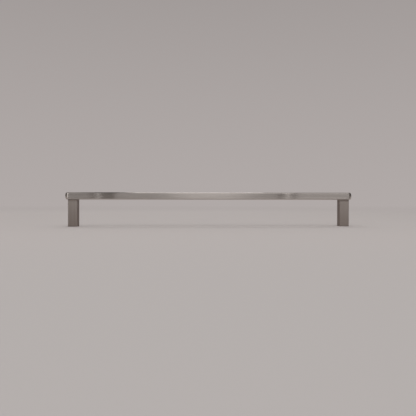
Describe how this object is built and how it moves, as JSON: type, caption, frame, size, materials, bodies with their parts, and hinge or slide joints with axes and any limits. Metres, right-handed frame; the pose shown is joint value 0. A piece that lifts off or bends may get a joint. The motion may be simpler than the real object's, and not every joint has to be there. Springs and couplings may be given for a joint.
{
  "type": "appliance pull",
  "caption": "Long straight appliance pull with a brushed rectangular grip, crowned ends and square posts that bolt on through a door.",
  "frame": {"origin": "midway between the two feet, on the plane of the door", "axes": "+X along the grip, +Y across the grip, +Z out from the door"},
  "size_m": [0.4842, 0.017, 0.0572],
  "materials": {
    "grip_nickel": "satin nickel, brushed along the grip",
    "plug_nickel": "satin nickel, brushed up and down",
    "post_nickel": "satin nickel, brushed up and down",
    "screw_steel": "black oxide",
    "dowel_steel": "ground",
    "bush_steel": "zinc plated"
  },
  "bodies": {
    "root": {"grip_tube": "grip_nickel", "end_plug_left": "plug_nickel", "end_plug_right": "plug_nickel", "post_left": "post_nickel", "post_right": "post_nickel", "joint_screw_left": "screw_steel", "joint_screw_right": "screw_steel", "dowel_pin_left": "dowel_steel", "dowel_pin_right": "dowel_steel", "mounting_bush_left": "bush_steel", "mounting_bush_right": "bush_steel"}
  },
  "joints": []
}
